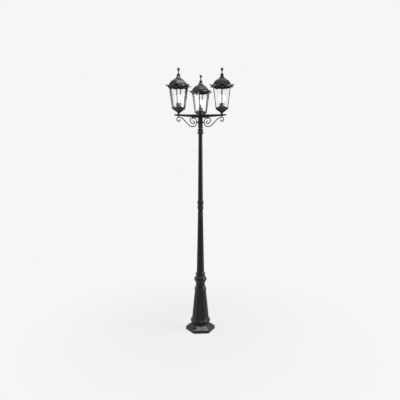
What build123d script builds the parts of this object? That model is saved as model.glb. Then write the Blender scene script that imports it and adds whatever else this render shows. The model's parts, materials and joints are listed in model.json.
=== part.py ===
"""Three-head garden lamp post: foot, fluted base, two-length post, hub, arms, scrolls, lanterns.

Millimetres, +Z up. The origin is on the post's axis, on the ground under the foot.
"""
import os
from math import atan2, cos, degrees, pi, radians, sin, sqrt, tan

from build123d import *

os.makedirs("parts", exist_ok=True)

# ------------------------------------------------------------------ driving dimensions
# clearances
fit_gap = 0.05            # radial gap of a fitted spigot, stem or screw
loose_gap = 0.3           # gap between curved parts that only lie close
turn_gap = 0.2            # gap under a part that turns on its seat

# how the head is laid out
arm_directions = (-150.0, -30.0, 90.0)
lantern_turns = (-7.4, -1.3, -8.9)     # turn of each lantern on its stem, off its arm's line
foot_turn = 4.3                        # turn of the six-sided foot under the post
arm_reach = 212.5                      # post axis to lantern axis
arm_count = len(arm_directions)

# heights of the stacked castings
foot_height = 66.0
base_height = 326.0
leaf_height = 154.0
lower_length = 557.0
coupling_height = 99.0
upper_length = 578.0
top_collar_height = 61.0
hub_height = 140.0
spire_height = 62.0

# foot
foot_corner = 134.4
foot_edge = 27.0
foot_shoulder_corner = 89.0
foot_shoulder_height = 57.0
foot_ring_radius = 79.0
foot_opening_radius = 55.0
foot_wall = 9.0
foot_groove = 2.0
anchor_circle_radius = 108.0
anchor_hole_radius = 5.5
anchor_boss_radius = 14.0
anchor_seat_radius = 12.0
anchor_seat_height = 34.0
anchor_count = 3
earth_stud_radius = 3.0
earth_stud_offset = 64.0
earth_stud_length = 22.0

# base column and post
base_wall = 7.0
flute_count = 12
base_foot_radius = 76.0
base_low_radius = 75.4
base_high_radius = 51.5
lower_spigot_radius = 30.0
lower_spigot_length = 40.0
lower_bottom_radius = 34.0
lower_top_radius = 22.5
lower_bore_bottom = 25.0
lower_bore_top = 13.0
mid_spigot_radius = 17.0
mid_spigot_length = 45.0
upper_bottom_radius = 22.9
upper_top_radius = 17.6
upper_bore_top = 9.5
top_spigot_radius = 14.0
top_spigot_length = 44.0

# hub
hub_radius = 21.0
hub_cavity_radius = 15.5
socket_height = 97.5
socket_radius = 16.0
socket_reach = 54.0
cap_spigot_length = 12.0
scroll_boss_radius = 6.0
block_size = (20.0, 18.0, 18.0)

# arm
arm_spigot_radius = 9.5
arm_start = 26.0
arm_neck_radius = 12.5
arm_ring_radius = 14.5
arm_ring_from = 62.0
arm_ring_to = 84.0
arm_root_radius = 12.4
arm_end_radius = 7.0
arm_overhang = 44.0
arm_bore_radius = 4.5
eye_radius = 11.0
eye_half_height = 8.5
plug_radius = 7.3
plug_dome_radius = 10.0
plug_head = 4.5
plug_thread_radius = 4.0

# wires
lead_radius = 1.75
lead_offset = 7.5
lead_bend = 10.0
lead_end_bend = 6.0
riser_radius = 3.5
riser_bottom = 20.0

# scroll
rod_radius = 4.2
scroll_inner_radius = 11.5
scroll_lower_radius = 32.0
scroll_flat_from = 66.6
scroll_flat_length = 19.4
scroll_turn_radius = 16.5
scroll_shoulder_radius = 28.0
scroll_hub_radius = 40.0
scroll_sweep_radius = 60.0
scroll_crest_radius = 70.0
scroll_curl_radius = 18.0
scroll_end_radius = 10.0
scroll_screw_offset = 77.0
end_ball_radius = 6.2
start_ball_radius = 5.0
scroll_screw_radius = 2.5
scroll_screw_length = 15.0
screw_head_radius = 4.2
screw_head_height = 3.0

# grub screws
grub_radius = 3.0
grub_length = 6.0
grub_key_radius = 1.75
grub_key_depth = 3.0
grub_depth = 22.0                      # from a casting's end face to its grub screws
column_grub_depth = 20.0

# lantern stem, cup and cage
stem_radius = 5.0
stem_bore_radius = 3.2
stem_top = 44.0
stem_nut_radius = 8.1
stem_nut_height = 4.0
cup_neck_radius = 9.0
cup_neck_top = 15.0
cup_low_corner = 12.0
cup_shoulder_corner = 52.0
cup_shoulder_height = 42.0
cup_height = 49.0
cup_wall = 3.8                         # measured straight up
cup_floor = 20.0
cup_screw_circle = 45.0
cup_screw_count = 3
rib_width = 5.0
cage_bottom_corner = 60.4
cage_top_corner = 87.0
cage_height = 184.0
cage_wall = 2.5
bar_width = 5.0
cage_floor = 3.0
cage_floor_opening = 38.0
cage_sill = 4.0
cage_head = 12.0
crest_height = 8.0
flange_thickness = 3.0
flange_opening_corner = 70.0
pane_thickness = 2.5
pane_gap = 0.2
clip_width = 10.0
clip_thickness = 1.0
clip_length = 15.0
clip_lip = 6.0
clip_offset = 18.0

# bridge and its screws
bridge_width = 14.0
bridge_thickness = 4.0
bridge_screw_offset = 65.0
bridge_end_gap = 1.5
small_screw_radius = 2.0
small_screw_length = 11.0
small_head_radius = 3.5
small_head_height = 2.5

# roof, crown and finial
roof_wall = 3.0
roof_rise = 87.5
roof_skirt_height = 7.0
roof_waist = (38.1, 54.0)              # apothem and height where the dome turns hollow
roof_top_apothem = 13.2
eave_corner = 119.3
skirt_drop = 22.5
scallop_places = (11.0, 24.0, 37.0)
scallop_radius = 5.2
crown_radius = 18.5
crown_height = 12.5
crown_notches = 6
finial_height = 60.0
stud_radius = 3.0
stud_clearance_radius = 3.3
stud_past_bridge = 3.0

# lampholder and lamp
holder_radius = 22.0
holder_base_radius = 9.0
holder_bottom = 36.0
holder_top = 90.0
holder_cavity_radius = 14.5
holder_floor = 61.7
lamp_cap_radius = 13.2
lamp_cap_top = 92.0
lamp_top = 165.0
lamp_radius = 30.0
lamp_wall = 1.2

# ------------------------------------------------------------------ heights worked out
foot_top = foot_height
base_top = foot_top + base_height
leaf_top = base_top + leaf_height
lower_top = leaf_top + lower_length
coupling_top = lower_top + coupling_height
upper_top = coupling_top + upper_length
hub_bottom = upper_top + top_collar_height
hub_top = hub_bottom + hub_height
arm_height = hub_bottom + socket_height
seat_height = arm_height + eye_half_height
cage_top = cup_height + cage_height
roof_top = cage_top + roof_rise
crown_top = roof_top + crown_height
bridge_top = cage_top + bridge_thickness
arm_tip = arm_reach + arm_overhang
cap_bottom = hub_top - cap_spigot_length
block_bottom = cap_bottom - block_size[2]
scroll_height = arm_height - arm_ring_radius - loose_gap - rod_radius
crest_centre_height = arm_height - eye_half_height - plug_head - loose_gap - rod_radius
shoulder_step = scroll_hub_radius - scroll_shoulder_radius
scroll_centre = (
    scroll_flat_from + shoulder_step * cos(radians(30)),
    scroll_height - scroll_shoulder_radius - shoulder_step * sin(radians(30)),
)
scroll_left = scroll_centre[0] - scroll_hub_radius
half_side = tan(radians(30))           # half a hexagon's side for each unit of apothem
flat_of = cos(radians(30))             # apothem for each unit of corner radius
stud_top = foot_shoulder_height - 1
arm_grub_place = (arm_start + socket_reach) / 2
holder_wire_top = stem_top + 6
cage_lean = degrees(atan2((cage_top_corner - cage_bottom_corner) * flat_of, cage_height))
side_length = cage_height / cos(radians(cage_lean))
pane_face = cage_wall + pane_gap       # from the cage's outer face to a pane's outer face


# ------------------------------------------------------------------ helpers
def section(*points):
    """Closed face in the XZ plane. A point of four numbers is reached by an arc through its
    first two numbers."""
    edges = []
    here = points[0]
    for point in points[1:] + points[:1]:
        target = point[-2:]
        start = Vector(here[0], 0, here[1])
        end = Vector(target[0], 0, target[1])
        if len(point) == 4:
            edges.append(ThreePointArc(start, Vector(point[0], 0, point[1]), end))
        else:
            edges.append(Line(start, end))
        here = target
    return make_face(edges)


def turned(*points):
    """Solid of revolution about Z from (radius, height) points."""
    return revolve(section(*points), Axis.Z)


def dome(radius, top):
    """Two points that end a turned outline with a round tip on the axis."""
    slant = radius * sqrt(0.5)
    return (radius, top - radius), (slant, top - radius + slant, 0, top)


def rod(radius, bottom, top):
    """Upright cylinder on the Z axis between two heights."""
    return Pos(0, 0, (bottom + top) / 2) * Cylinder(radius, top - bottom)


def lying(radius, start, end, height=0.0):
    """Cylinder along +X between two distances."""
    return Pos((start + end) / 2, 0, height) * Rot(0, 90, 0) * Cylinder(radius, end - start)


def hexagon(corner, height):
    """Six-sided face with corners at 0, 60 ... degrees."""
    return Pos(0, 0, height) * RegularPolygon(corner, 6)


def hex_tower(*levels):
    """Ruled six-sided solid through (corner radius, height) levels."""
    faces = [hexagon(corner, height) for corner, height in levels]
    return loft(faces, ruled=True)


def spread(shape, count, start=0.0):
    """Copies of a shape about the Z axis."""
    return [Rot(0, 0, start + 360.0 * i / count) * shape for i in range(count)]


def save(node, *solids):
    """Write one node's solids to its own file."""
    shape = solids[0] if len(solids) == 1 else Compound(children=list(solids))
    export_step(shape, f"parts/{node}.step")


def on_arm(index, shape):
    """Place a shape built along +X from the post's axis at arm height."""
    return Pos(0, 0, arm_height) * Rot(0, 0, arm_directions[index]) * shape


def on_stem(index, shape, turn=True):
    """Place a shape built about the lantern's axis with its seat at height 0."""
    own_turn = lantern_turns[index] if turn else 0.0
    spot = Pos(arm_reach, 0, seat_height) * Rot(0, 0, own_turn) * shape
    return Rot(0, 0, arm_directions[index]) * spot


def fluted(body, low_radius, high_radius, bottom, top, width_share, depth):
    """Cut upright flutes with a tapered round cutter that leans with the body's side."""
    low_width = pi * low_radius / flute_count * width_share
    high_width = pi * high_radius / flute_count * width_share
    low_cutter = (low_width**2 + depth**2) / (2 * depth)
    high_cutter = (high_width**2 + depth**2) / (2 * depth)
    low_axis = low_radius + low_cutter - depth
    high_axis = high_radius + high_cutter - depth
    axis_lean = degrees(atan2(low_axis - high_axis, top - bottom))
    length = (top - bottom) / cos(radians(axis_lean))
    cutter = Cone(low_cutter, high_cutter, length)
    middle = ((low_axis + high_axis) / 2, 0, (top + bottom) / 2)
    placed = Pos(*middle) * Rot(0, -axis_lean, 0) * cutter
    return body - spread(placed, flute_count, 180.0 / flute_count)


# ------------------------------------------------------------------ foot
def foot():
    """Six-sided hollow casting with a stepped edge, a round ring and three anchor bosses."""
    half_edge = foot_edge / 2
    groove_corner = foot_corner - foot_groove
    body = hex_tower(
        (foot_corner, 0), (foot_corner, half_edge - 1.5), (groove_corner, half_edge - 0.5),
        (groove_corner, half_edge + 1), (foot_corner - 1, half_edge + 2),
        (foot_corner - 1, foot_edge), (foot_shoulder_corner, foot_shoulder_height),
    )
    ring = rod(foot_ring_radius, foot_edge, foot_shoulder_height + 5)
    neck = rod(foot_ring_radius - 5, foot_edge, foot_top)
    solid = body + ring + neck
    inner_low = foot_corner - foot_wall / flat_of - foot_groove
    cavity = hex_tower(
        (inner_low, -1), (inner_low - 3, foot_edge - foot_wall),
        (foot_shoulder_corner - 13, foot_shoulder_height - 11),
    )
    boss = Pos(anchor_circle_radius, 0, 0) * rod(anchor_boss_radius, 0, foot_top)
    seat = Pos(anchor_circle_radius, 0, 0) * rod(anchor_seat_radius, anchor_seat_height, foot_top)
    hole = Pos(anchor_circle_radius, 0, 0) * rod(anchor_hole_radius, -1, foot_top)
    bosses = [(one & body) for one in spread(boss, anchor_count)]
    stud_hole = Rot(0, 0, 60) * Pos(earth_stud_offset, 0, 0) * rod(
        earth_stud_radius + fit_gap, 0, stud_top)
    solid = (solid - cavity + bosses) - spread(seat, anchor_count) - spread(hole, anchor_count)
    solid = solid - rod(foot_opening_radius, -1, foot_top + 1) - stud_hole
    return Rot(0, 0, foot_turn) * solid


def earth_stud():
    """Brass stud standing down into the foot's hollow, with a nut and its washer face."""
    nut_top = foot_shoulder_height - 11
    stud = rod(earth_stud_radius, stud_top - earth_stud_length, stud_top)
    nut = extrude(Pos(0, 0, nut_top - 5) * RegularPolygon(5.8, 6), 5)
    nut = nut - rod(earth_stud_radius + fit_gap, 0, foot_height)
    place = Rot(0, 0, foot_turn + 60) * Pos(earth_stud_offset, 0, 0)
    return place * stud, place * nut


# ------------------------------------------------------------------ base column and post
def base_column():
    """Hollow fluted cone with a torus at its foot and a bead near its top."""
    shoulder = base_height - lower_spigot_length
    flute_from = 58.0
    flute_to = 296.0
    bore = lower_spigot_radius + fit_gap
    body = turned(
        (base_low_radius - base_wall, 0), (base_foot_radius, 0), (base_foot_radius, 5),
        (90.6, 20, 82, 38), (77.5, 44, base_low_radius, flute_from - 4),
        (base_low_radius, flute_from), (base_high_radius, flute_to),
        (base_high_radius, flute_to + 8), (54.8, base_height - 11, 50.5, base_height),
        (bore, base_height), (bore, shoulder), (bore - 4, shoulder),
        (bore - 4, shoulder - 4), (base_high_radius - base_wall, shoulder - 24),
        (base_low_radius - base_wall, flute_from),
    )
    body = fluted(body, base_low_radius, base_high_radius, flute_from, flute_to, 0.72, 3.0)
    hole = lying(grub_radius + fit_gap, bore - 1, base_foot_radius, base_height - column_grub_depth)
    return Pos(0, 0, foot_top) * (body - spread(hole, 3, 30))


def leaf_collar():
    """Waisted collar with a ring of leaves and a small ring above them."""
    bore = lower_spigot_radius + fit_gap
    body = turned(
        (bore, 0), (50.5, 0), (50, 5), (42.8, 20, 41.5, 36), (43, 48, 48, 58), (53, 70),
        (57.6, 82, 54, 93), (47, 103, 41, 110), (39.5, 117), (44.6, 129, 40, 141),
        (lower_bottom_radius + 0.5, 149), (lower_bottom_radius, leaf_height), (bore, leaf_height),
    )
    notch = Pos(61, 0, 0) * Rot(0, 4, 0) * rod(5.5, 60, 108)
    return Pos(0, 0, base_top) * (body - spread(notch, 8))


def lower_post():
    """Tapered fluted tube with a spigot at each end."""
    spigot_bottom = -leaf_height - lower_spigot_length
    spigot_top = lower_length + mid_spigot_length
    body = turned(
        (lower_bore_bottom, spigot_bottom), (lower_spigot_radius, spigot_bottom),
        (lower_spigot_radius, 0), (lower_bottom_radius, 0), (lower_top_radius, lower_length),
        (mid_spigot_radius, lower_length), (mid_spigot_radius, spigot_top),
        (lower_bore_top, spigot_top), (lower_bore_top, lower_length - 20),
    )
    body = fluted(body, lower_bottom_radius - 0.2, lower_top_radius + 0.2, 12, lower_length - 12,
                  0.6, 1.3)
    return Pos(0, 0, leaf_top) * body


def mid_coupling():
    """Ringed sleeve over the spigots of both post lengths."""
    bore = mid_spigot_radius + fit_gap
    top = coupling_height
    body = turned(
        (bore, 0), (22.3, 0), (23.5, 8), (25.5, 14), (27.2, 26, 26.2, 38), (24.5, 44),
        (24.5, 54), (26.3, 59), (29.2, 73, 26.6, 87), (23.6, 92), (23.2, top), (bore, top),
    )
    low = lying(grub_radius + fit_gap, bore - 1, 40, grub_depth)
    high = lying(grub_radius + fit_gap, bore - 1, 40, top - grub_depth)
    return Pos(0, 0, lower_top) * (body - spread(low, 3, 30) - spread(high, 3, 30))


def upper_post():
    """Plain tapered tube with a spigot at each end."""
    top = upper_length + top_collar_height + top_spigot_length
    body = turned(
        (lower_bore_top, -mid_spigot_length), (mid_spigot_radius, -mid_spigot_length),
        (mid_spigot_radius, 0), (upper_bottom_radius, 0), (upper_top_radius, upper_length),
        (top_spigot_radius, upper_length), (top_spigot_radius, top), (upper_bore_top, top),
    )
    return Pos(0, 0, coupling_top) * body


def top_collar():
    """Double ring between the upper post and the hub."""
    bore = top_spigot_radius + fit_gap
    top = top_collar_height
    body = turned(
        (bore, 0), (18.2, 0), (20, 4), (25.6, 8), (28.1, 14, 26, 19.5), (21.2, 25),
        (20.8, 28, 22, 31), (24.6, 39.5, 22, 47), (18.6, 51), (18.2, 54, 19, 57),
        (21.5, top), (bore, top),
    )
    return Pos(0, 0, upper_top) * body


# ------------------------------------------------------------------ hub
def arm_hub():
    """Hollow hub with three arm sockets and three small bosses for the scrolls."""
    bottom_bore = top_spigot_radius + fit_gap
    lip = hub_radius + 1.5
    cavity_from = top_spigot_length + 1
    cavity_to = hub_height - cap_spigot_length
    body = turned(
        (0, 0), (lip, 0), (lip, 5), (hub_radius, 8), (hub_radius, hub_height - 8),
        (lip, hub_height - 5), (lip, hub_height), (0, hub_height),
    )
    boss_reach = scroll_left - rod_radius - loose_gap
    boss_height = scroll_centre[1] - hub_bottom
    sockets = [Rot(0, 0, a) * lying(socket_radius, 0, socket_reach, socket_height)
               for a in arm_directions]
    bosses = [Rot(0, 0, a) * lying(scroll_boss_radius, 0, boss_reach, boss_height)
              for a in arm_directions]
    body = body + sockets + bosses
    body = body - rod(bottom_bore, -1, cavity_from)
    body = body - rod(hub_cavity_radius, cavity_from, cavity_to)
    body = body - rod(bottom_bore, cavity_to - 1, hub_height + 1)
    socket_bore = lying(arm_spigot_radius + fit_gap, hub_cavity_radius - 3, socket_reach + 1,
                        socket_height)
    screw_hole = lying(scroll_screw_radius + fit_gap, bottom_bore + 2, boss_reach + 1, boss_height)
    grub_hole = Pos(arm_grub_place, 0, 0) * rod(grub_radius + fit_gap, socket_height - 30,
                                                socket_height)
    for direction in arm_directions:
        body = body - Rot(0, 0, direction) * socket_bore
        body = body - Rot(0, 0, direction) * screw_hole
        body = body - Rot(0, 0, direction) * grub_hole
    side_hole = lying(grub_radius + fit_gap, bottom_bore - 1, 40, grub_depth)
    body = body - spread(side_hole, 3, 30)
    return Pos(0, 0, hub_bottom) * body


def hub_finial():
    """Hollow-sided spire whose spigot closes the hub."""
    spigot = top_spigot_radius
    body = turned(
        (0, -cap_spigot_length), (spigot, -cap_spigot_length), (spigot, 0),
        (hub_radius, 0), (hub_radius, 3), (16, 7), (9.3, 17, 6.2, 34),
        (4.2, 46, 2.4, spire_height - 6), *dome(1.6, spire_height),
    )
    return Pos(0, 0, hub_top) * body


# ------------------------------------------------------------------ arms
def arm():
    """Tapered round arm along +X with a spigot, a ring and an eye that seats the lantern."""
    taper_to = arm_tip - 16
    body = turned(
        (0, arm_start), (arm_spigot_radius, arm_start), (arm_spigot_radius, socket_reach),
        (arm_neck_radius, socket_reach), (arm_neck_radius, arm_ring_from - 1),
        (arm_ring_radius, arm_ring_from + 1.5), (arm_ring_radius, arm_ring_to - 2),
        (arm_root_radius, arm_ring_to + 1), (arm_end_radius, taper_to), *dome(6, arm_tip),
    )
    body = Rot(0, 90, 0) * body
    eye = Pos(arm_reach, 0, 0) * rod(eye_radius, -eye_half_height, eye_half_height)
    body = body + eye
    body = body - lying(arm_bore_radius, arm_start - 1, arm_reach + arm_bore_radius)
    body = body - Pos(arm_reach, 0, 0) * rod(stem_radius + fit_gap, 0, eye_half_height + 1)
    body = body - Pos(arm_reach, 0, 0) * rod(plug_thread_radius + fit_gap, -eye_half_height - 1, 0)
    screw_top = scroll_height - arm_height - rod_radius + scroll_screw_length + 0.5
    screw_hole = rod(scroll_screw_radius + fit_gap, -arm_ring_radius - 1, screw_top)
    return body - Pos(scroll_screw_offset, 0, 0) * screw_hole


def ball_plug():
    """Domed plug that closes the hole under the arm's eye."""
    bottom = -eye_half_height - plug_head
    half = plug_radius / 2
    low = bottom + plug_dome_radius - sqrt(plug_dome_radius**2 - half**2)
    side = bottom + plug_dome_radius - sqrt(plug_dome_radius**2 - plug_radius**2)
    body = turned(
        (0, bottom), (half, low, plug_radius, side),
        (plug_radius, -eye_half_height), (plug_thread_radius, -eye_half_height),
        (plug_thread_radius, -arm_bore_radius - 0.1), (0, -arm_bore_radius - 0.1),
    )
    return Pos(arm_reach, 0, 0) * body


# ------------------------------------------------------------------ scrolls
def bent(start, heading, moves):
    """Planar path in XZ from straight moves (length,) and bends (radius, degrees)."""
    edges = []
    x, z = start
    for move in moves:
        along = (cos(radians(heading)), sin(radians(heading)))
        if len(move) == 1:
            end = (x + along[0] * move[0], z + along[1] * move[0])
            edges.append(Line((x, 0, z), (end[0], 0, end[1])))
            x, z = end
            continue
        radius, turn = move
        side = 1 if turn > 0 else -1
        centre = (x - side * radius * along[1], z + side * radius * along[0])
        first = atan2(z - centre[1], x - centre[0])
        spots = []
        for share in (0.5, 1.0):
            angle = first + radians(turn) * share
            spots.append((centre[0] + radius * cos(angle), 0, centre[1] + radius * sin(angle)))
        edges.append(ThreePointArc((x, 0, z), spots[0], spots[1]))
        x, z = spots[1][0], spots[1][2]
        heading += turn
    return edges, (x, z)


def scroll_path():
    """Path of one scroll in the arm's upright plane, from its inner end to its outer end."""
    start = (
        scroll_flat_from + scroll_flat_length + scroll_turn_radius - scroll_lower_radius,
        scroll_height - scroll_turn_radius - scroll_lower_radius + 2 * scroll_inner_radius,
    )
    bends = scroll_sweep_radius + scroll_crest_radius
    across = arm_reach - scroll_centre[0]
    up = crest_centre_height - (scroll_centre[1] - scroll_hub_radius)
    straight = sqrt(across**2 + (up - bends) ** 2 - bends**2)
    rise = degrees(atan2(up - bends, across) - atan2(-bends, straight))
    moves = [
        (scroll_inner_radius, 90), (scroll_inner_radius, 90), (scroll_lower_radius, 90),
        (scroll_turn_radius, 90), (scroll_flat_length,), (scroll_shoulder_radius, 60),
        (scroll_hub_radius, 120), (scroll_sweep_radius, rise), (straight,),
        (scroll_crest_radius, -rise), (scroll_curl_radius, -90), (scroll_curl_radius, -90),
        (scroll_end_radius, -90),
    ]
    edges, end = bent(start, 180, moves)
    return start, edges, end


def scroll():
    """S-scroll of round bar with a ball on each end and two screw holes."""
    start, edges, end = scroll_path()
    mouth = Plane(origin=(start[0], 0, start[1]), z_dir=(-1, 0, 0))
    bar = sweep(mouth * Circle(rod_radius), path=Wire(edges))
    bar = bar + Pos(start[0] + 1, 0, start[1]) * Sphere(start_ball_radius)
    bar = bar + Pos(end[0], 0, end[1] + 1) * Sphere(end_ball_radius)
    hole = rod(scroll_screw_radius + fit_gap, scroll_height - 9, scroll_height + 9)
    bar = bar - Pos(scroll_screw_offset, 0, 0) * hole
    return bar - lying(scroll_screw_radius + fit_gap, scroll_left - 9, scroll_left + 9,
                       scroll_centre[1])


def scroll_screw():
    """Pan-head screw pointing up, with its head's seat at height 0."""
    shank = rod(scroll_screw_radius, 0, scroll_screw_length)
    head = rod(screw_head_radius, -screw_head_height, 0)
    slot = Pos(0, 0, -screw_head_height) * Box(1.2, 3 * screw_head_radius, 2)
    return shank + head - slot


def scroll_screws():
    """One screw up into each arm's ring and one into each hub boss."""
    up = Pos(scroll_screw_offset, 0, scroll_height - rod_radius) * scroll_screw()
    seat = scroll_left + rod_radius + loose_gap
    inward = Pos(seat, 0, scroll_centre[1]) * Rot(0, -90, 0) * scroll_screw()
    return [Rot(0, 0, a) * one for a in arm_directions for one in (up, inward)]


def grub_screw(tip):
    """Socket grub screw along +X with its flat tip at a distance from the axis."""
    body = lying(grub_radius, tip, tip + grub_length)
    key = Rot(0, 90, 0) * extrude(RegularPolygon(grub_key_radius, 6), grub_key_depth)
    return body - Pos(tip + grub_length - grub_key_depth, 0, 0) * key


def grub_screws():
    """Grub screws of the post's joints and of the three arm sockets."""
    joints = [
        (base_top - column_grub_depth, lower_spigot_radius),
        (lower_top + grub_depth, mid_spigot_radius),
        (coupling_top - grub_depth, mid_spigot_radius),
        (hub_bottom + grub_depth, top_spigot_radius),
    ]
    screws = []
    for height, tip in joints:
        screws += spread(Pos(0, 0, height) * grub_screw(tip), 3, 30)
    below = Rot(0, 90, 0) * grub_screw(arm_spigot_radius)
    for index in range(arm_count):
        screws.append(on_arm(index, Pos(arm_grub_place, 0, 0) * below))
    return screws


# ------------------------------------------------------------------ wiring
def terminal_block():
    """Three-pole block under the hub's cap, with a screw hole over each pole."""
    width, depth, height = block_size
    body = Pos(0, 0, block_bottom + height / 2) * Box(width, depth, height)
    for place in (-width / 3, 0, width / 3):
        pocket = Pos(place, depth / 2, block_bottom + height / 2) * Rot(90, 0, 0)
        body = body - pocket * Cylinder(1.6, 6)
    return body


def arm_lead():
    """Sheathed lead from the terminal block through the arm and stem to the lampholder."""
    top = seat_height + holder_wire_top
    path = FilletPolyline(
        (lead_offset, 0, block_bottom), (lead_offset, 0, arm_height),
        (arm_reach, 0, arm_height), (arm_reach, 0, top),
        radius=[lead_bend, lead_end_bend],
    )
    mouth = Plane(origin=(lead_offset, 0, block_bottom), z_dir=(0, 0, -1))
    return sweep(mouth * Circle(lead_radius), path=path)


# ------------------------------------------------------------------ lantern, seat at height 0
def lantern_stem():
    """Hollow threaded stem screwed into the arm's eye."""
    bottom = arm_bore_radius + 0.2 - eye_half_height
    return rod(stem_radius, bottom, stem_top) - rod(stem_bore_radius, bottom - 1, stem_top + 1)


def stem_nut():
    """Thin six-sided nut that clamps the cup's floor."""
    bottom = cup_floor + turn_gap
    nut = extrude(hexagon(stem_nut_radius, bottom), stem_nut_height)
    return nut - rod(stem_radius + fit_gap, 0, stem_top)


def cup():
    """Inverted six-sided pyramid with ribs, a neck, and bosses for the cage's screws."""
    body = hex_tower(
        (cup_low_corner, cup_neck_top), (cup_shoulder_corner, cup_shoulder_height),
        (cage_bottom_corner, cup_height),
    )
    body = body + turned((0, turn_gap), (cup_neck_radius, turn_gap), (cup_neck_radius, 11),
                         (cup_low_corner, 15), (cup_low_corner, 18), (0, 18))
    fin = section((8, 4), (cup_low_corner - 0.5, 11), (cup_shoulder_corner + 2, 40.5),
                  (cage_bottom_corner + 2, 47), (cage_bottom_corner + 2, cup_height),
                  (cup_shoulder_corner, cup_height), (8, 17))
    fins = spread(extrude(fin, rib_width / 2, both=True), 6)
    inside = hex_tower(
        (cup_low_corner + 1.8, cup_floor), (cup_shoulder_corner, cup_shoulder_height + cup_wall),
        (cage_bottom_corner - 4.6, cup_height), (cage_bottom_corner - 4.6, cup_height + 1),
    )
    post = Pos(cup_screw_circle, 0, 0) * rod(4.5, cup_floor, cup_height)
    posts = [one & body for one in spread(post, cup_screw_count)]
    body = body + fins - inside
    body = body + posts
    hole = Pos(cup_screw_circle, 0, 0) * rod(small_screw_radius + fit_gap, cup_height - 9,
                                             cup_height + 1)
    return body - spread(hole, cup_screw_count) - rod(stem_radius + 2 * fit_gap, 0, cup_height)


def face_plane(index, inset=0.0):
    """Plane on one leaning side of the cage: x along the side, y up it, z outwards."""
    direction = 30 + 60 * index
    apothem = cage_bottom_corner * flat_of
    out = (cos(radians(direction)), sin(radians(direction)))
    normal = (out[0] * cos(radians(cage_lean)), out[1] * cos(radians(cage_lean)),
              -sin(radians(cage_lean)))
    origin = (apothem * out[0], apothem * out[1], cup_height)
    return Plane(origin=origin, x_dir=(-out[1], out[0], 0), z_dir=normal).offset(-inset)


def half_width(up, inset=0.0):
    """Half the width of a cage side at a distance up it, on a plane set in from its face."""
    apothem = cage_bottom_corner * flat_of + up * sin(radians(cage_lean))
    return (apothem - inset / cos(radians(cage_lean))) * half_side


def cage():
    """One-piece frame: six bars, a floor ring with crests and a top ring with a flange."""
    inset = cage_wall / cos(radians(cage_lean)) / flat_of
    body = hex_tower((cage_bottom_corner, cup_height), (cage_top_corner, cage_top))
    step = (cage_top_corner - cage_bottom_corner) / cage_height
    floor_top = cup_height + cage_floor
    flange_bottom = cage_top - flange_thickness
    inside = hex_tower(
        (cage_bottom_corner - inset + step * cage_floor, floor_top),
        (cage_top_corner - inset - step * flange_thickness, flange_bottom),
    )
    body = body - inside - rod(cage_floor_opening, 0, cup_height + cage_floor + 1)
    opening = hexagon(flange_opening_corner, flange_bottom - 1)
    body = body - extrude(opening, flange_thickness + 2)
    sill = cage_sill
    head = side_length - cage_head
    low = half_width(sill) - bar_width
    high = half_width(head) - bar_width
    window = [
        Line((-low, sill), (-high, head)), Line((-high, head), (high, head)),
        Line((high, head), (low, sill)),
        ThreePointArc((low, sill), (low * 0.4, sill + crest_height * 0.22),
                      (0, sill + crest_height)),
        ThreePointArc((0, sill + crest_height), (-low * 0.4, sill + crest_height * 0.22),
                      (-low, sill)),
    ]
    for index in range(6):
        plane = face_plane(index, -2)
        body = body - extrude(plane * make_face(window), -(cage_wall + 4))
    cup_hole = Pos(cup_screw_circle, 0, 0) * rod(small_screw_radius + 0.2, cup_height - 1,
                                                 floor_top + 1)
    turn = Rot(0, 0, 30)
    bridge_hole = turn * Pos(bridge_screw_offset, 0, 0) * rod(
        small_screw_radius + fit_gap, flange_bottom - 1, cage_top + 1)
    return body - spread(cup_hole, cup_screw_count) - spread(bridge_hole, 2)


def panes():
    """Six flat leaning panes that stand on the cage's floor behind its bars."""
    bottom = (cage_floor + loose_gap) / cos(radians(cage_lean)) + pane_thickness * tan(
        radians(cage_lean))
    top = side_length - (flange_thickness + 2)
    back = pane_face + pane_thickness
    low = half_width(bottom, back) - pane_gap
    high = half_width(top, back) - pane_gap
    shape = Polygon((-low, bottom), (low, bottom), (high, top), (-high, top), align=None)
    return [extrude(face_plane(index, pane_face) * shape, -pane_thickness) for index in range(6)]


def pane_clips():
    """Six bent tabs, each under the top flange and behind one pane's upper edge."""
    inset = pane_face + pane_thickness + 0.1
    top = side_length - flange_thickness / cos(radians(cage_lean)) - 1.2
    flange_bottom = cage_top - flange_thickness
    clips = []
    for index in range(6):
        leg = Pos(clip_offset, top - clip_length / 2, 0) * Rectangle(clip_width, clip_length)
        clip = extrude(face_plane(index, inset) * leg, -clip_thickness)
        back = (cage_top_corner * flat_of - (flange_thickness + 1) * tan(radians(cage_lean))
                - inset - 0.1)
        lip_centre = (back - clip_lip / 2, clip_offset, flange_bottom - clip_thickness / 2)
        lip = Pos(*lip_centre) * Box(clip_lip, clip_width, clip_thickness)
        clips.append(clip + Rot(0, 0, 30 + 60 * index) * lip)
    return clips


def bridge():
    """Flat bar across the cage's top, tapped in the middle for the finial's stud."""
    reach = (cage_top_corner - roof_wall) * flat_of - bridge_end_gap
    bar = Pos(0, 0, cage_top + bridge_thickness / 2) * Box(2 * reach, bridge_width,
                                                           bridge_thickness)
    bar = bar - rod(stud_radius + fit_gap, cage_top - 1, bridge_top + 1)
    hole = Pos(bridge_screw_offset, 0, 0) * rod(small_screw_radius + 0.2, cage_top - 1,
                                                bridge_top + 1)
    return Rot(0, 0, 30) * (bar - spread(hole, 2))


def lantern_screws():
    """Three screws from the cage's floor into the cup and two from the bridge into the flange."""
    shank = rod(small_screw_radius, -small_screw_length, 0)
    slot = Pos(0, 0, small_head_height) * Box(3 * small_head_radius, 1, 1.6)
    screw = shank + rod(small_head_radius, 0, small_head_height) - slot
    low = Pos(cup_screw_circle, 0, cup_height + cage_floor) * screw
    high = Rot(0, 0, 30) * Pos(bridge_screw_offset, 0, bridge_top) * screw
    return spread(low, cup_screw_count) + spread(high, 2)


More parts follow.
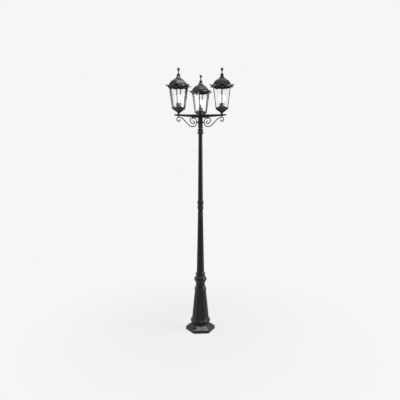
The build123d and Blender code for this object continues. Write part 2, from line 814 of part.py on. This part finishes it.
def wedge(shape):
    """The sixth of a shape that lies between two corners, centred on +X."""
    far = 200
    keep = Polygon((0, 0), (far, -far * half_side), (far, far * half_side), align=None)
    return shape & extrude(keep, 2 * far)


def roof():
    """Six-sided ogee dome with a wavy skirt that hangs between six level corner tips."""
    base = cage_top_corner * flat_of
    wall = roof_wall
    spring = cage_top + roof_skirt_height
    waist = (roof_waist[0], cage_top + roof_waist[1])
    profile = section(
        (0, roof_top), (roof_top_apothem, roof_top),
        (21.8, waist[1] + 15, waist[0], waist[1]),
        (62.6, spring + 25.5, base, spring), (base, cage_top), (base - wall, cage_top),
        (base - wall, spring), (60.2, spring + 23.5, waist[0] - 1.8, waist[1] - 2.4),
        (19.6, waist[1] + 12.2, roof_top_apothem - wall, roof_top - 6), (0, roof_top - 6),
    )
    side = wedge(extrude(profile, base, both=True))
    shell = Part() + spread(side, 6, 30)
    shell = shell - rod(stud_clearance_radius, cage_top, roof_top + 1)
    return shell + skirt(base)


def skirt(base):
    """Twelve twisted leaves, each from a hanging middle to a level corner, with scallops."""
    root = cage_top + 3
    crown_line = cage_top + roof_skirt_height
    corner = base / flat_of
    middle = section(
        (base - 1.8, root), (base - 1.8, crown_line), (base + 2.2, crown_line),
        (base + 8.2, crown_line - skirt_drop), (base + 5.8, crown_line - skirt_drop - 0.6),
        (base + 1.4, root),
    )
    tip = section(
        (corner - 1.7, root), (corner - 1.7, crown_line), (corner + 1, crown_line),
        (eave_corner, crown_line - 0.4), (eave_corner, crown_line - 2.8), (corner + 1, root),
    )
    rise_each = (skirt_drop - 2) / (eave_corner * sin(radians(30)))
    leaves = []
    for side in (1, -1):
        leaf = loft([middle, Rot(0, 0, 30 * side) * tip], ruled=True)
        for place in scallop_places:
            height = crown_line - skirt_drop - 1.6 + rise_each * place
            cutter = lying(scallop_radius, base - 6, base + 60, height)
            leaf = leaf - Pos(0, side * place, 0) * cutter
        leaves += spread(leaf, 6, 30)
    return leaves


def roof_crown():
    """Small flared ring of leaves clamped under the finial."""
    body = turned(
        (stud_clearance_radius, 0), (roof_top_apothem - 0.7, 0),
        (roof_top_apothem - 0.2, 6, crown_radius, crown_height - 2),
        (crown_radius - 1.5, crown_height), (stud_clearance_radius, crown_height),
    )
    notch = Pos(crown_radius + 2, 0, 0) * rod(3.4, -1, crown_height + 1)
    return Pos(0, 0, roof_top) * (body - spread(notch, crown_notches))


def finial():
    """Stem and spade-shaped knob with the threaded stud that holds the roof down."""
    stud_bottom = cage_top - stud_past_bridge - crown_top
    top = finial_height
    body = turned(
        (0, stud_bottom), (stud_radius, stud_bottom), (stud_radius, 0), (8, 0), (8, 3),
        (5.6, 6, 5.2, 12), (4.8, 20, 6.2, 29), (9, 34), (13.6, 37.5), (13.2, 40),
        (8.4, 49, 1.8, top - 4), *dome(1.2, top),
    )
    return Pos(0, 0, crown_top) * body


def lampholder():
    """Porcelain lampholder screwed on the stem, open at the top."""
    wire_hole = 3.0
    return turned(
        (stem_radius + fit_gap, holder_bottom), (holder_base_radius, holder_bottom),
        (holder_base_radius, 46), (holder_radius - 4, 51), (holder_radius, 56),
        (holder_radius, 84), (holder_radius - 1.5, 85.5), (holder_radius - 1.5, holder_top),
        (holder_cavity_radius, holder_top), (holder_cavity_radius, holder_floor),
        (0, holder_floor), (0, holder_wire_top), (wire_hole, holder_wire_top),
        (wire_hole, stem_top), (stem_radius + fit_gap, stem_top),
    )


def lamp_cap():
    """Screw cap of the lamp with its centre contact."""
    seat = holder_floor + loose_gap
    return turned(
        (0, seat), (5, seat), (5, seat + 2), (lamp_cap_radius - 2, seat + 5),
        (lamp_cap_radius, seat + 8), (lamp_cap_radius, lamp_cap_top), (0, lamp_cap_top),
    )


def lamp_glass():
    """Thin hollow bulb standing on its cap."""
    centre = lamp_top - lamp_radius
    inner = lamp_radius - lamp_wall
    slant = sqrt(0.5)
    neck = lamp_cap_radius
    return turned(
        (0, lamp_top), (lamp_radius * slant, centre + lamp_radius * slant, lamp_radius, centre),
        (27.2, centre - 17, neck + 2, lamp_cap_top + 10), (neck, lamp_cap_top),
        (neck - lamp_wall, lamp_cap_top), (neck + 2 - lamp_wall, lamp_cap_top + 10),
        (27.2 - lamp_wall, centre - 16.6, inner, centre),
        (inner * slant, centre + inner * slant, 0, lamp_top - lamp_wall),
    )


# ------------------------------------------------------------------ the assembly
save("base_plinth", foot())
save("earth_stud", *earth_stud())
save("base_column", base_column())
save("leaf_collar", leaf_collar())
save("lower_post", lower_post())
save("mid_coupling", mid_coupling())
save("upper_post", upper_post())
save("top_collar", top_collar())
save("arm_hub", arm_hub())
save("hub_finial", hub_finial())
save("terminal_block", terminal_block())
save("riser_cable", rod(riser_radius, riser_bottom, block_bottom))
save("grub_screws", *grub_screws())
save("scroll_screws", *scroll_screws())

one_arm = arm()
one_scroll = scroll()
one_lead = arm_lead()
turns = range(arm_count)
save("ball_plugs", *[on_arm(i, ball_plug()) for i in turns])
save("arm_leads", *[Rot(0, 0, arm_directions[i]) * one_lead for i in turns])
save("lantern_stems", *[on_stem(i, lantern_stem(), turn=False) for i in turns])
save("stem_nuts", *[on_stem(i, stem_nut(), turn=False) for i in turns])

fixed_pieces = {"lampholder": [lampholder()]}
lantern_pieces = {
    "lantern_cup": [cup()],
    "lantern_cage": [cage()],
    "glass_panes": panes(),
    "pane_clips": pane_clips(),
    "bridge_bar": [bridge()],
    "lantern_screws": lantern_screws(),
    "lantern_roof": [roof()],
    "roof_crown": [roof_crown()],
    "roof_finial": [finial()],
    "lamp_glass": [lamp_glass()],
    "lamp_cap": [lamp_cap()],
}
for i in turns:
    number = i + 1
    save(f"arm_{number}", on_arm(i, one_arm))
    save(f"scroll_{number}", Rot(0, 0, arm_directions[i]) * one_scroll)
    for name, solids in fixed_pieces.items():
        save(f"{name}_{number}", *[on_stem(i, one, turn=False) for one in solids])
    for name, solids in lantern_pieces.items():
        save(f"{name}_{number}", *[on_stem(i, one) for one in solids])
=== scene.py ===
"""Looks for the three-head garden lamp post: materials, lit lamps, studio light and camera."""
import json
from math import cos, pi, radians, sin

import bmesh
import bpy
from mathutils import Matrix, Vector

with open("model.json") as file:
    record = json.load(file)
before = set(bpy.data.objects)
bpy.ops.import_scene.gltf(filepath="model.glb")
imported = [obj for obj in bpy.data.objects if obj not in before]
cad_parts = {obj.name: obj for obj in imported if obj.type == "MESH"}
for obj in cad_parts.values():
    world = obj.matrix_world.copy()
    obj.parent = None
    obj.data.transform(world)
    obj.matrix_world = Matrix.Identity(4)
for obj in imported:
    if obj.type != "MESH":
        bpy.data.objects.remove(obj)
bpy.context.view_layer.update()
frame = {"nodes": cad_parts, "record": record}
scene = bpy.context.scene
scene.view_settings.view_transform = "Standard"

# ------------------------------------------------------------------ camera
CAMERA_TURN = radians(-0.9)     # the photograph was taken a little to the right of the front
CAMERA_DISTANCE = 3.7267        # metres from the post's axis, along the ground
CAMERA_HEIGHT = 1.5836
CAMERA_PITCH = 0.10312          # radians below level
CAMERA_LENS = 37.54
CAMERA_SENSOR = 36.0
CAMERA_SHIFT = -0.0011

camera = bpy.data.objects.new("camera", bpy.data.cameras.new("camera"))
camera.data.sensor_width = CAMERA_SENSOR
camera.data.lens = CAMERA_LENS
camera.data.shift_x = CAMERA_SHIFT
camera.location = (-CAMERA_DISTANCE * sin(CAMERA_TURN), -CAMERA_DISTANCE * cos(CAMERA_TURN),
                   CAMERA_HEIGHT)
camera.rotation_euler = (pi / 2 - CAMERA_PITCH, 0, -CAMERA_TURN)
scene.collection.objects.link(camera)
scene.camera = camera

# ------------------------------------------------------------------ material helpers
BACKGROUND = 0.9216             # the even backdrop, as the camera sees it
FRONT_SHEEN = 0.24              # how bright the room in front of the object is in its gloss
BACK_SHEEN = 0.85               # and behind it
LAMP_GLOW = 1.1
THIN_GLASS_IOR = 1.25           # keeps the panes' reflection faint
FLOOR_SIZE = 30.0
FLOOR_DROP = 0.0004             # keeps the floor just under the foot
SHADOW_SHARE = 0.22             # how much of the floor's own shade the camera sees


class Nodes:
    """A node tree with short calls to add and join nodes."""

    def __init__(self, tree):
        self.tree = tree
        tree.nodes.clear()

    def add(self, kind, **settings):
        node = self.tree.nodes.new(kind)
        for name, value in settings.items():
            setattr(node, name, value)
        return node

    def put(self, socket, value):
        if isinstance(value, bpy.types.NodeSocket):
            self.tree.links.new(value, socket)
        elif isinstance(value, bpy.types.Node):
            self.tree.links.new(value.outputs[0], socket)
        else:
            socket.default_value = value

    def noise(self, scale, detail=3.0, roughness=0.5, stretch=None):
        where = self.add("ShaderNodeTexCoord").outputs["Object"]
        if stretch:
            mapping = self.add("ShaderNodeMapping")
            self.put(mapping.inputs["Vector"], where)
            mapping.inputs["Scale"].default_value = stretch
            where = mapping.outputs[0]
        node = self.add("ShaderNodeTexNoise")
        self.put(node.inputs["Vector"], where)
        node.inputs["Scale"].default_value = scale
        node.inputs["Detail"].default_value = detail
        node.inputs["Roughness"].default_value = roughness
        return node.outputs["Fac"]

    def span(self, value, low, high, start=0.3, end=0.7):
        node = self.add("ShaderNodeMapRange")
        self.put(node.inputs["Value"], value)
        node.inputs["From Min"].default_value = start
        node.inputs["From Max"].default_value = end
        node.inputs["To Min"].default_value = low
        node.inputs["To Max"].default_value = high
        return node.outputs[0]

    def math(self, operation, first, second=0.5):
        node = self.add("ShaderNodeMath", operation=operation)
        self.put(node.inputs[0], first)
        self.put(node.inputs[1], second)
        return node.outputs[0]

    def mix(self, share, first, second):
        node = self.add("ShaderNodeMix", data_type="RGBA")
        self.put(node.inputs["Factor"], share)
        self.put(node.inputs[6], first)
        self.put(node.inputs[7], second)
        return node.outputs[2]

    def bump(self, height, distance, strength=1.0, under=None):
        node = self.add("ShaderNodeBump")
        self.put(node.inputs["Height"], height)
        node.inputs["Distance"].default_value = distance
        node.inputs["Strength"].default_value = strength
        if under is not None:
            self.put(node.inputs["Normal"], under)
        return node.outputs[0]


def new_material(name):
    material = bpy.data.materials.new(name)
    material.use_nodes = True
    return material, Nodes(material.node_tree)


def rgba(red, green, blue):
    return (red, green, blue, 1.0)


def finish(nodes, shader):
    """Joins a shader to a new material output."""
    out = nodes.add("ShaderNodeOutputMaterial")
    nodes.put(out.inputs["Surface"], shader)


def black_coat(name, grain, peel, shine):
    """Semi-gloss black coat on a casting: soft grain, orange peel and lighter patches on surfaces
    that face up.
    """
    material, n = new_material(name)
    shader = n.add("ShaderNodeBsdfPrincipled")
    cloud = n.noise(7.0, 4.0)
    colour = n.mix(n.span(cloud, 0.0, 1.0), rgba(0.0095, 0.0080, 0.0105),
                   rgba(0.0140, 0.0120, 0.0150))
    # lighter colour in patches where the surface faces up: an upward-normal mask times a noise mask
    up = n.add("ShaderNodeSeparateXYZ")
    n.put(up.inputs[0], n.add("ShaderNodeNewGeometry").outputs["Normal"])
    upward_patches = n.math("MULTIPLY", n.span(up.outputs[2], 0.0, 0.5, 0.75, 1.0),
                  n.span(n.noise(60.0, 5.0), 0.0, 1.0, 0.4, 0.75))
    colour = n.mix(upward_patches, colour, rgba(0.035, 0.033, 0.034))
    n.put(shader.inputs["Base Color"], colour)
    rough = n.span(n.noise(28.0, 4.0), shine - 0.05, shine + 0.07)
    n.put(shader.inputs["Roughness"], rough)
    shader.inputs["Specular IOR Level"].default_value = 0.5
    shader.inputs["Specular Tint"].default_value = rgba(0.98, 0.90, 1.0)
    casting = n.bump(n.noise(grain, 5.0, 0.6), 0.00035)
    n.put(shader.inputs["Normal"], n.bump(n.noise(peel, 2.0), 0.00006, under=casting))
    finish(n, shader)
    return material


def metal(name, colour, roughness, streak=None, thread=None):
    """Bare or plated metal with fine scratches, or with a screw thread along Z."""
    material, n = new_material(name)
    shader = n.add("ShaderNodeBsdfPrincipled")
    shader.inputs["Metallic"].default_value = 1.0
    shade = n.noise(90.0, 4.0)
    darker = rgba(*[0.8 * c for c in colour])
    n.put(shader.inputs["Base Color"], n.mix(n.span(shade, 0, 1), rgba(*colour), darker))
    n.put(shader.inputs["Roughness"],
          n.span(n.noise(400.0, 3.0, stretch=streak), roughness - 0.06, roughness + 0.12))
    fine = n.bump(n.noise(1500.0, 2.0, stretch=streak), 0.00003)
    if thread:
        wave = n.add("ShaderNodeTexWave", bands_direction="Z")
        wave.inputs["Scale"].default_value = thread
        n.put(wave.inputs["Vector"], n.add("ShaderNodeTexCoord").outputs["Object"])
        fine = n.bump(wave.outputs["Fac"], 0.0012, under=fine)
    n.put(shader.inputs["Normal"], fine)
    finish(n, shader)
    return material


def plain(name, colour, roughness, grain, depth, coat=0.0):
    """Porcelain, plastic or rubber with a faint mottled colour and a fine surface."""
    material, n = new_material(name)
    shader = n.add("ShaderNodeBsdfPrincipled")
    lighter = rgba(*[min(1.0, 1.12 * c) for c in colour])
    n.put(shader.inputs["Base Color"], n.mix(n.span(n.noise(45.0), 0, 1), rgba(*colour), lighter))
    n.put(shader.inputs["Roughness"], n.span(n.noise(120.0), roughness - 0.04, roughness + 0.06))
    shader.inputs["Coat Weight"].default_value = coat
    shader.inputs["Coat Roughness"].default_value = 0.08
    n.put(shader.inputs["Normal"], n.bump(n.noise(grain), depth))
    finish(n, shader)
    return material


def through_shadow(n, shader):
    """Lets lamps shine through a clear shader."""
    clear = n.add("ShaderNodeBsdfTransparent")
    mix = n.add("ShaderNodeMixShader")
    n.put(mix.inputs[0], n.add("ShaderNodeLightPath").outputs["Is Shadow Ray"])
    n.put(mix.inputs[1], shader)
    n.put(mix.inputs[2], clear)
    return mix


def pane_glass(name):
    """Clear sheet glass: a thin reflection over what lies behind, with faint upright draw lines."""
    material, n = new_material(name)
    lines = n.bump(n.noise(38.0, 2.0, stretch=(1.0, 1.0, 0.06)), 0.0002)
    gloss = n.add("ShaderNodeBsdfGlossy")
    gloss.inputs["Color"].default_value = rgba(1.0, 1.0, 1.0)
    n.put(gloss.inputs["Roughness"], n.span(n.noise(22.0, 3.0), 0.01, 0.04))
    n.put(gloss.inputs["Normal"], lines)
    clear = n.add("ShaderNodeBsdfTransparent")
    clear.inputs["Color"].default_value = rgba(0.985, 0.985, 0.98)
    edge = n.add("ShaderNodeFresnel")
    edge.inputs["IOR"].default_value = THIN_GLASS_IOR
    mix = n.add("ShaderNodeMixShader")
    n.put(mix.inputs[0], edge)
    n.put(mix.inputs[1], clear)
    n.put(mix.inputs[2], gloss)
    finish(n, through_shadow(n, mix))
    return material


def bulb_glass(name):
    """Opal lamp glass, lit evenly from within and a little warmer towards its neck."""
    material, n = new_material(name)
    shader = n.add("ShaderNodeBsdfPrincipled")
    shader.inputs["Base Color"].default_value = rgba(0.85, 0.83, 0.8)
    warm = n.add("ShaderNodeSeparateXYZ")
    n.put(warm.inputs[0], n.add("ShaderNodeTexCoord").outputs["Generated"])
    tint = n.mix(n.span(warm.outputs[2], 0.0, 1.0, 0.1, 0.7), rgba(1.0, 0.80, 0.58),
                 rgba(1.0, 0.95, 0.86))
    n.put(shader.inputs["Emission Color"], tint)
    shader.inputs["Emission Strength"].default_value = LAMP_GLOW
    n.put(shader.inputs["Roughness"], n.span(n.noise(70.0), 0.12, 0.2))
    finish(n, shader)
    return material


MATERIALS = {
    "black_coat": black_coat("coat_castings", 180.0, 900.0, 0.30),
    "black_lantern": black_coat("coat_lanterns", 260.0, 1100.0, 0.28),
    "black_screw": black_coat("coat_screws", 500.0, 1600.0, 0.30),
    "steel": metal("zinc_plate", (0.56, 0.57, 0.58), 0.34),
    "brass": metal("plain_brass", (0.74, 0.55, 0.25), 0.28),
    "lamp_cap": metal("nickel_shell", (0.78, 0.77, 0.74), 0.22, thread=43.0),
    "porcelain": plain("glazed_porcelain", (0.33, 0.32, 0.31), 0.25, 160.0, 0.00008, 0.6),
    "block": plain("block_plastic", (0.78, 0.77, 0.72), 0.42, 700.0, 0.00005),
    "cable": plain("cable_sheath", (0.018, 0.018, 0.019), 0.55, 900.0, 0.00008),
    "pane_glass": pane_glass("pane_glass"),
    "lamp_glass": bulb_glass("lamp_glass"),
}
LANTERN_NODES = ("lantern_cup", "lantern_cage", "lantern_roof", "roof_crown", "roof_finial")
BLACKENED_NODES = ("pane_clips", "bridge_bar", "lantern_screws")

slots = {part["node"]: part["material_slot"] for part in frame["record"]["subparts"]}
for name, node in frame["nodes"].items():
    wanted = slots[name]
    family = name.rsplit("_", 1)[0]
    if family in LANTERN_NODES:
        wanted = "black_lantern"
    elif family in BLACKENED_NODES:
        wanted = "black_screw"
    node.data.materials.clear()
    node.data.materials.append(MATERIALS[wanted])


# ------------------------------------------------------------------ floor, world and lights
def floor_material():
    """Pale floor that fades into the backdrop and keeps the object's shadow."""
    material, n = new_material("studio_floor")
    where = n.add("ShaderNodeTexCoord").outputs["Object"]
    reach = n.add("ShaderNodeVectorMath", operation="LENGTH")
    n.put(reach.inputs[0], where)
    far = n.span(reach.outputs["Value"], 0.0, 1.0, 0.5, 1.6)
    backdrop = n.add("ShaderNodeEmission")
    backdrop.inputs["Color"].default_value = rgba(BACKGROUND, BACKGROUND, BACKGROUND)
    place = n.add("ShaderNodeSeparateXYZ")
    n.put(place.inputs[0], where)
    shaded = n.add("ShaderNodeEmission")
    n.put(shaded.inputs["Color"], n.span(place.outputs[1], FRONT_SHEEN, BACK_SHEEN, -2.5, 1.5))
    matte = n.add("ShaderNodeBsdfDiffuse")
    matte.inputs["Color"].default_value = rgba(0.8, 0.8, 0.8)
    share = n.math("MULTIPLY", n.math("SUBTRACT", 1.0, far), SHADOW_SHARE)
    path = n.add("ShaderNodeLightPath")
    glossy = path.outputs["Is Glossy Ray"]
    seen = n.math("MAXIMUM", path.outputs["Is Camera Ray"],
                  n.math("MAXIMUM", glossy, path.outputs["Is Transmission Ray"]))
    shown = n.add("ShaderNodeMixShader")
    n.put(shown.inputs[0], glossy)
    n.put(shown.inputs[1], backdrop)
    n.put(shown.inputs[2], shaded)
    faded = n.add("ShaderNodeMixShader")
    n.put(faded.inputs[0], share)
    n.put(faded.inputs[1], shown)
    n.put(faded.inputs[2], matte)
    out = n.add("ShaderNodeMixShader")
    n.put(out.inputs[0], seen)
    n.put(out.inputs[1], matte)
    n.put(out.inputs[2], faded)
    finish(n, out)
    return material


floor_mesh = bmesh.new()
bmesh.ops.create_grid(floor_mesh, x_segments=1, y_segments=1, size=FLOOR_SIZE)
floor_data = bpy.data.meshes.new("floor")
floor_mesh.to_mesh(floor_data)
floor_mesh.free()
floor_data.materials.append(floor_material())
floor = bpy.data.objects.new("floor", floor_data)
floor.location = (0, 0, -FLOOR_DROP)
scene.collection.objects.link(floor)

world = bpy.data.worlds.new("studio")
scene.world = world
world.use_nodes = True
w = Nodes(world.node_tree)
path = w.add("ShaderNodeLightPath")
seen = w.math("MAXIMUM", path.outputs["Is Camera Ray"], path.outputs["Is Transmission Ray"])
white = w.add("ShaderNodeBackground")
white.inputs["Color"].default_value = rgba(BACKGROUND, BACKGROUND, BACKGROUND)
soft = w.add("ShaderNodeBackground")
soft.inputs["Color"].default_value = rgba(0.34, 0.34, 0.35)
toward = w.add("ShaderNodeSeparateXYZ")
w.put(toward.inputs[0], w.add("ShaderNodeTexCoord").outputs["Generated"])
room = w.add("ShaderNodeBackground")
w.put(room.inputs["Color"], w.span(toward.outputs[1], FRONT_SHEEN, BACK_SHEEN, -0.6, 0.8))
lit = w.add("ShaderNodeMixShader")
w.put(lit.inputs[0], path.outputs["Is Glossy Ray"])
w.put(lit.inputs[1], soft)
w.put(lit.inputs[2], room)
choice = w.add("ShaderNodeMixShader")
w.put(choice.inputs[0], seen)
w.put(choice.inputs[1], lit)
w.put(choice.inputs[2], white)
w.put(w.add("ShaderNodeOutputWorld").inputs["Surface"], choice)


def softbox(name, place, aim, size, power):
    """A rectangular area light of the given width and height, turned towards a point."""
    light = bpy.data.lights.new(name, "AREA")
    light.shape = "RECTANGLE"
    light.size, light.size_y = size
    light.energy = power
    thing = bpy.data.objects.new(name, light)
    thing.location = place
    direction = Vector(aim) - Vector(place)
    thing.rotation_euler = direction.to_track_quat("-Z", "Y").to_euler()
    scene.collection.objects.link(thing)


softbox("overhead", (0.3, -0.6, 4.4), (0, 0, 1.8), (1.6, 1.6), 60)
softbox("key_right", (3.4, -0.5, 2.4), (0, 0, 1.4), (1.0, 3.2), 70)
softbox("fill_left", (-3.2, -0.2, 2.0), (0, 0, 1.4), (0.8, 3.0), 25)
